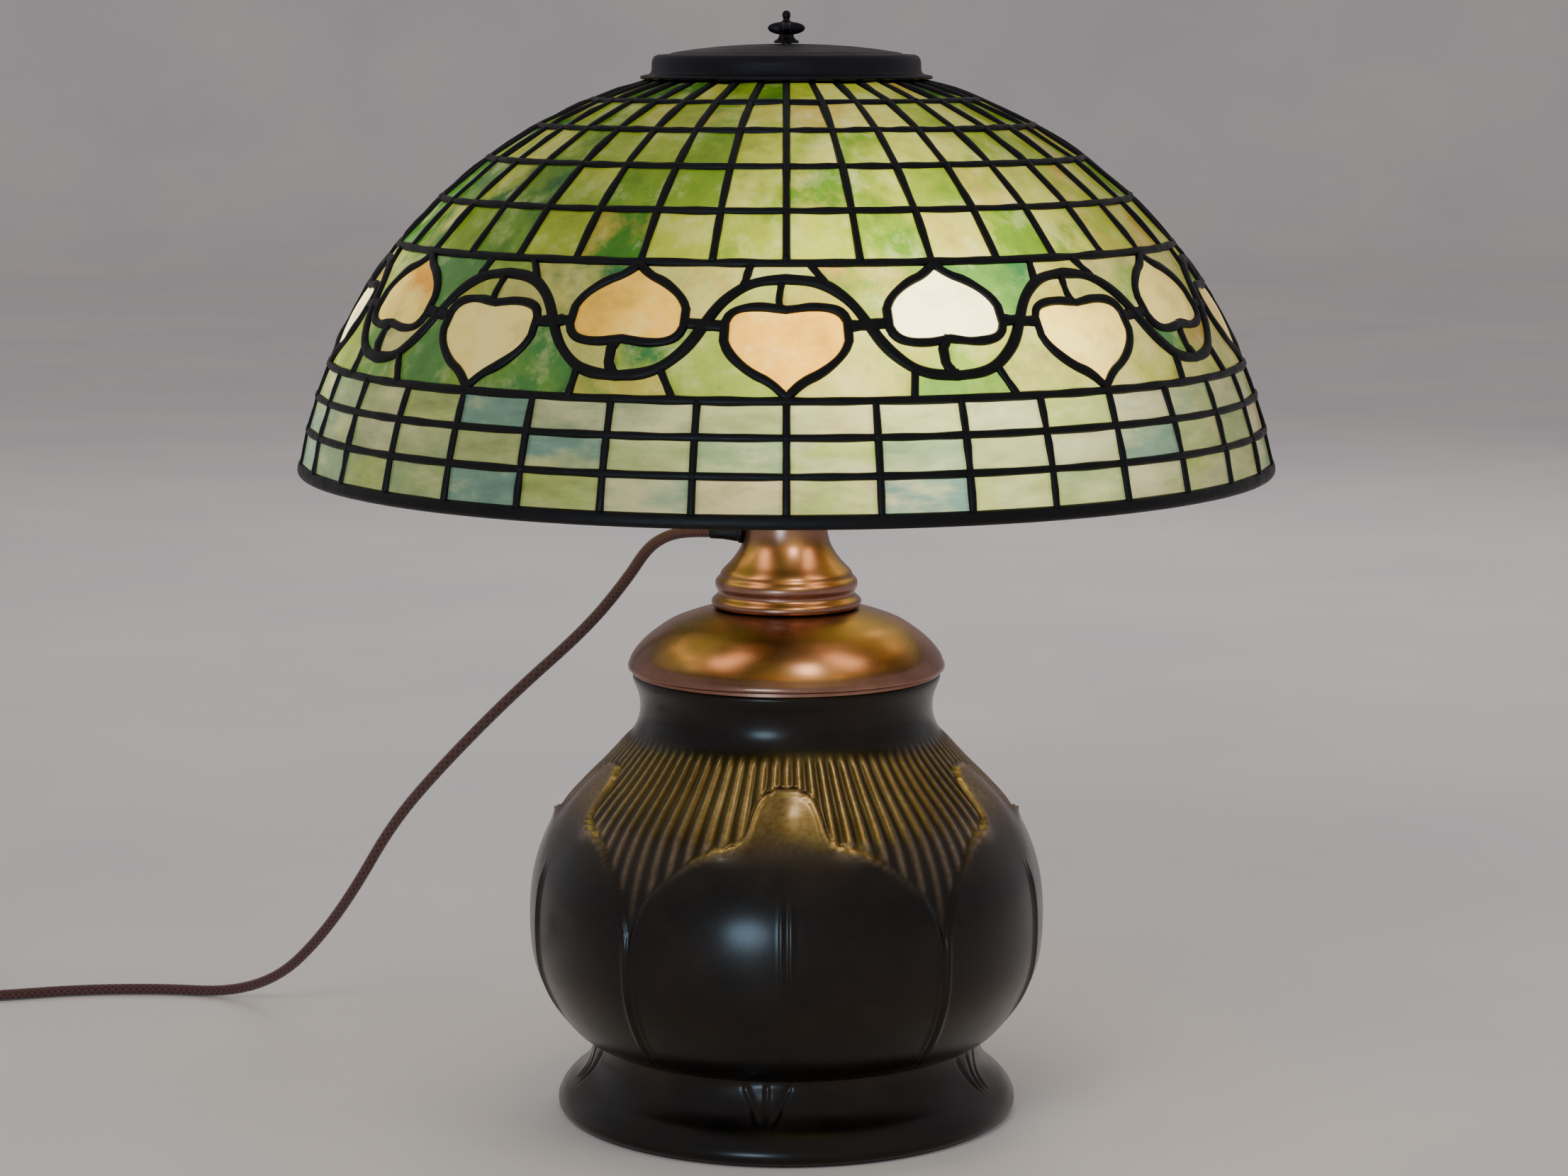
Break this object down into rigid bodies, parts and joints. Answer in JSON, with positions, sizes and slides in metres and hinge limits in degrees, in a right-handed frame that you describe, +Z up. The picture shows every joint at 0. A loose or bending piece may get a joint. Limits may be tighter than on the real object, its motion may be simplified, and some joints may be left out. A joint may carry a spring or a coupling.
{
  "type": "table lamp",
  "caption": "Table lamp with a leaded stained glass dome shade, heat cap and finial, on a ribbed and leafed bronze urn base with a cloth-covered mains lead.",
  "frame": {"origin": "centre of the base on the surface that the lamp stands on", "axes": "+Z up the lamp's axis, -Y to the front, the mains lead leaves towards -X"},
  "size_m": [0.6878, 0.4839, 0.469],
  "materials": {
    "felt": "dark brown felt",
    "steel": "plain zinc plate",
    "iron": "rough casting",
    "urn_bronze": "dark brown patina with worn golden ribs",
    "polished_bronze": "polished golden brown",
    "dark_bronze": "near black patina",
    "brass": "plain brass",
    "porcelain": "white glazed porcelain",
    "key_black": "black moulded knob",
    "bulb_frost": "frosted white",
    "upper_glass": "yellow green to emerald opalescent",
    "lower_glass": "pale green and aqua opalescent",
    "acorn_glass": "peach and amber opalescent",
    "background_glass": "green and cream opalescent",
    "lead": "dark patina solder",
    "cord_cloth": "brown braided cloth",
    "plug_brown": "dark brown moulded"
  },
  "bodies": {
    "base": {"felt_pad": "felt", "base_plate": "steel", "bottom_nut": "steel", "ballast_weight": "iron", "urn_body": "urn_bronze", "font_canister": "brass", "cover_dome": "polished_bronze", "lamp_neck": "polished_bronze", "neck_nut": "brass", "lamp_pipe": "steel", "finial_stud": "brass", "cord_gland": "dark_bronze", "cluster_body": "brass", "cluster_arms": "brass", "socket_caps": "brass", "socket_shells": "brass", "socket_cores": "porcelain", "screw_shells": "brass", "bulb_glass": "bulb_frost", "bulb_bases": "brass", "shade_wheel": "dark_bronze", "wheel_nuts": "brass", "mains_cord": "cord_cloth", "cord_coil": "cord_cloth", "cord_tail": "cord_cloth", "cord_tie": "key_black", "plug_body": "plug_brown", "plug_blades": "brass"},
    "top_cap": {"heat_cap": "dark_bronze"},
    "shade": {"glass_upper_row_1": "upper_glass", "leading_upper_row_1": "lead", "glass_upper_row_2": "upper_glass", "leading_upper_row_2": "lead", "glass_upper_row_3": "upper_glass", "leading_upper_row_3": "lead", "glass_upper_row_4": "upper_glass", "leading_upper_row_4": "lead", "glass_upper_row_5": "upper_glass", "leading_upper_row_5": "lead", "glass_lower_row_1": "lower_glass", "leading_lower_row_1": "lead", "glass_lower_row_2": "lower_glass", "leading_lower_row_2": "lead", "glass_lower_row_3": "lower_glass", "leading_lower_row_3": "lead", "shade_top_ring": "lead", "rim_band": "dark_bronze", "band_leading": "lead", "acorn_glass": "acorn_glass", "crescent_glass": "background_glass", "background_glass": "background_glass", "edge_strip_glass": "background_glass"},
    "finial": {"finial": "dark_bronze"},
    "key_1": {"switch_key_1": "key_black"},
    "key_2": {"switch_key_2": "key_black"},
    "key_3": {"switch_key_3": "key_black"}
  },
  "joints": [
    {"name": "shade_lift", "type": "slide", "parent": "base", "child": "top_cap", "axis": [0, 0, 1], "range_m": [0, 0.2]},
    {"name": "shade_turn", "type": "hinge", "parent": "top_cap", "child": "shade", "pos_m": [0, 0, 0.44], "axis": [0, 0, 1], "continuous": true},
    {"name": "finial_turn", "type": "hinge", "parent": "top_cap", "child": "finial", "pos_m": [0, 0, 0.456], "axis": [0, 0, 1], "continuous": true},
    {"name": "key_1_turn", "type": "hinge", "parent": "base", "child": "key_1", "pos_m": [0.03852, -0.02224, 0.37366], "axis": [0.5, 0.866, 0], "continuous": true},
    {"name": "key_2_turn", "type": "hinge", "parent": "base", "child": "key_2", "pos_m": [0, 0.04448, 0.37366], "axis": [-1, 0, 0], "continuous": true},
    {"name": "key_3_turn", "type": "hinge", "parent": "base", "child": "key_3", "pos_m": [-0.03852, -0.02224, 0.37366], "axis": [0.5, -0.866, 0], "continuous": true}
  ]
}
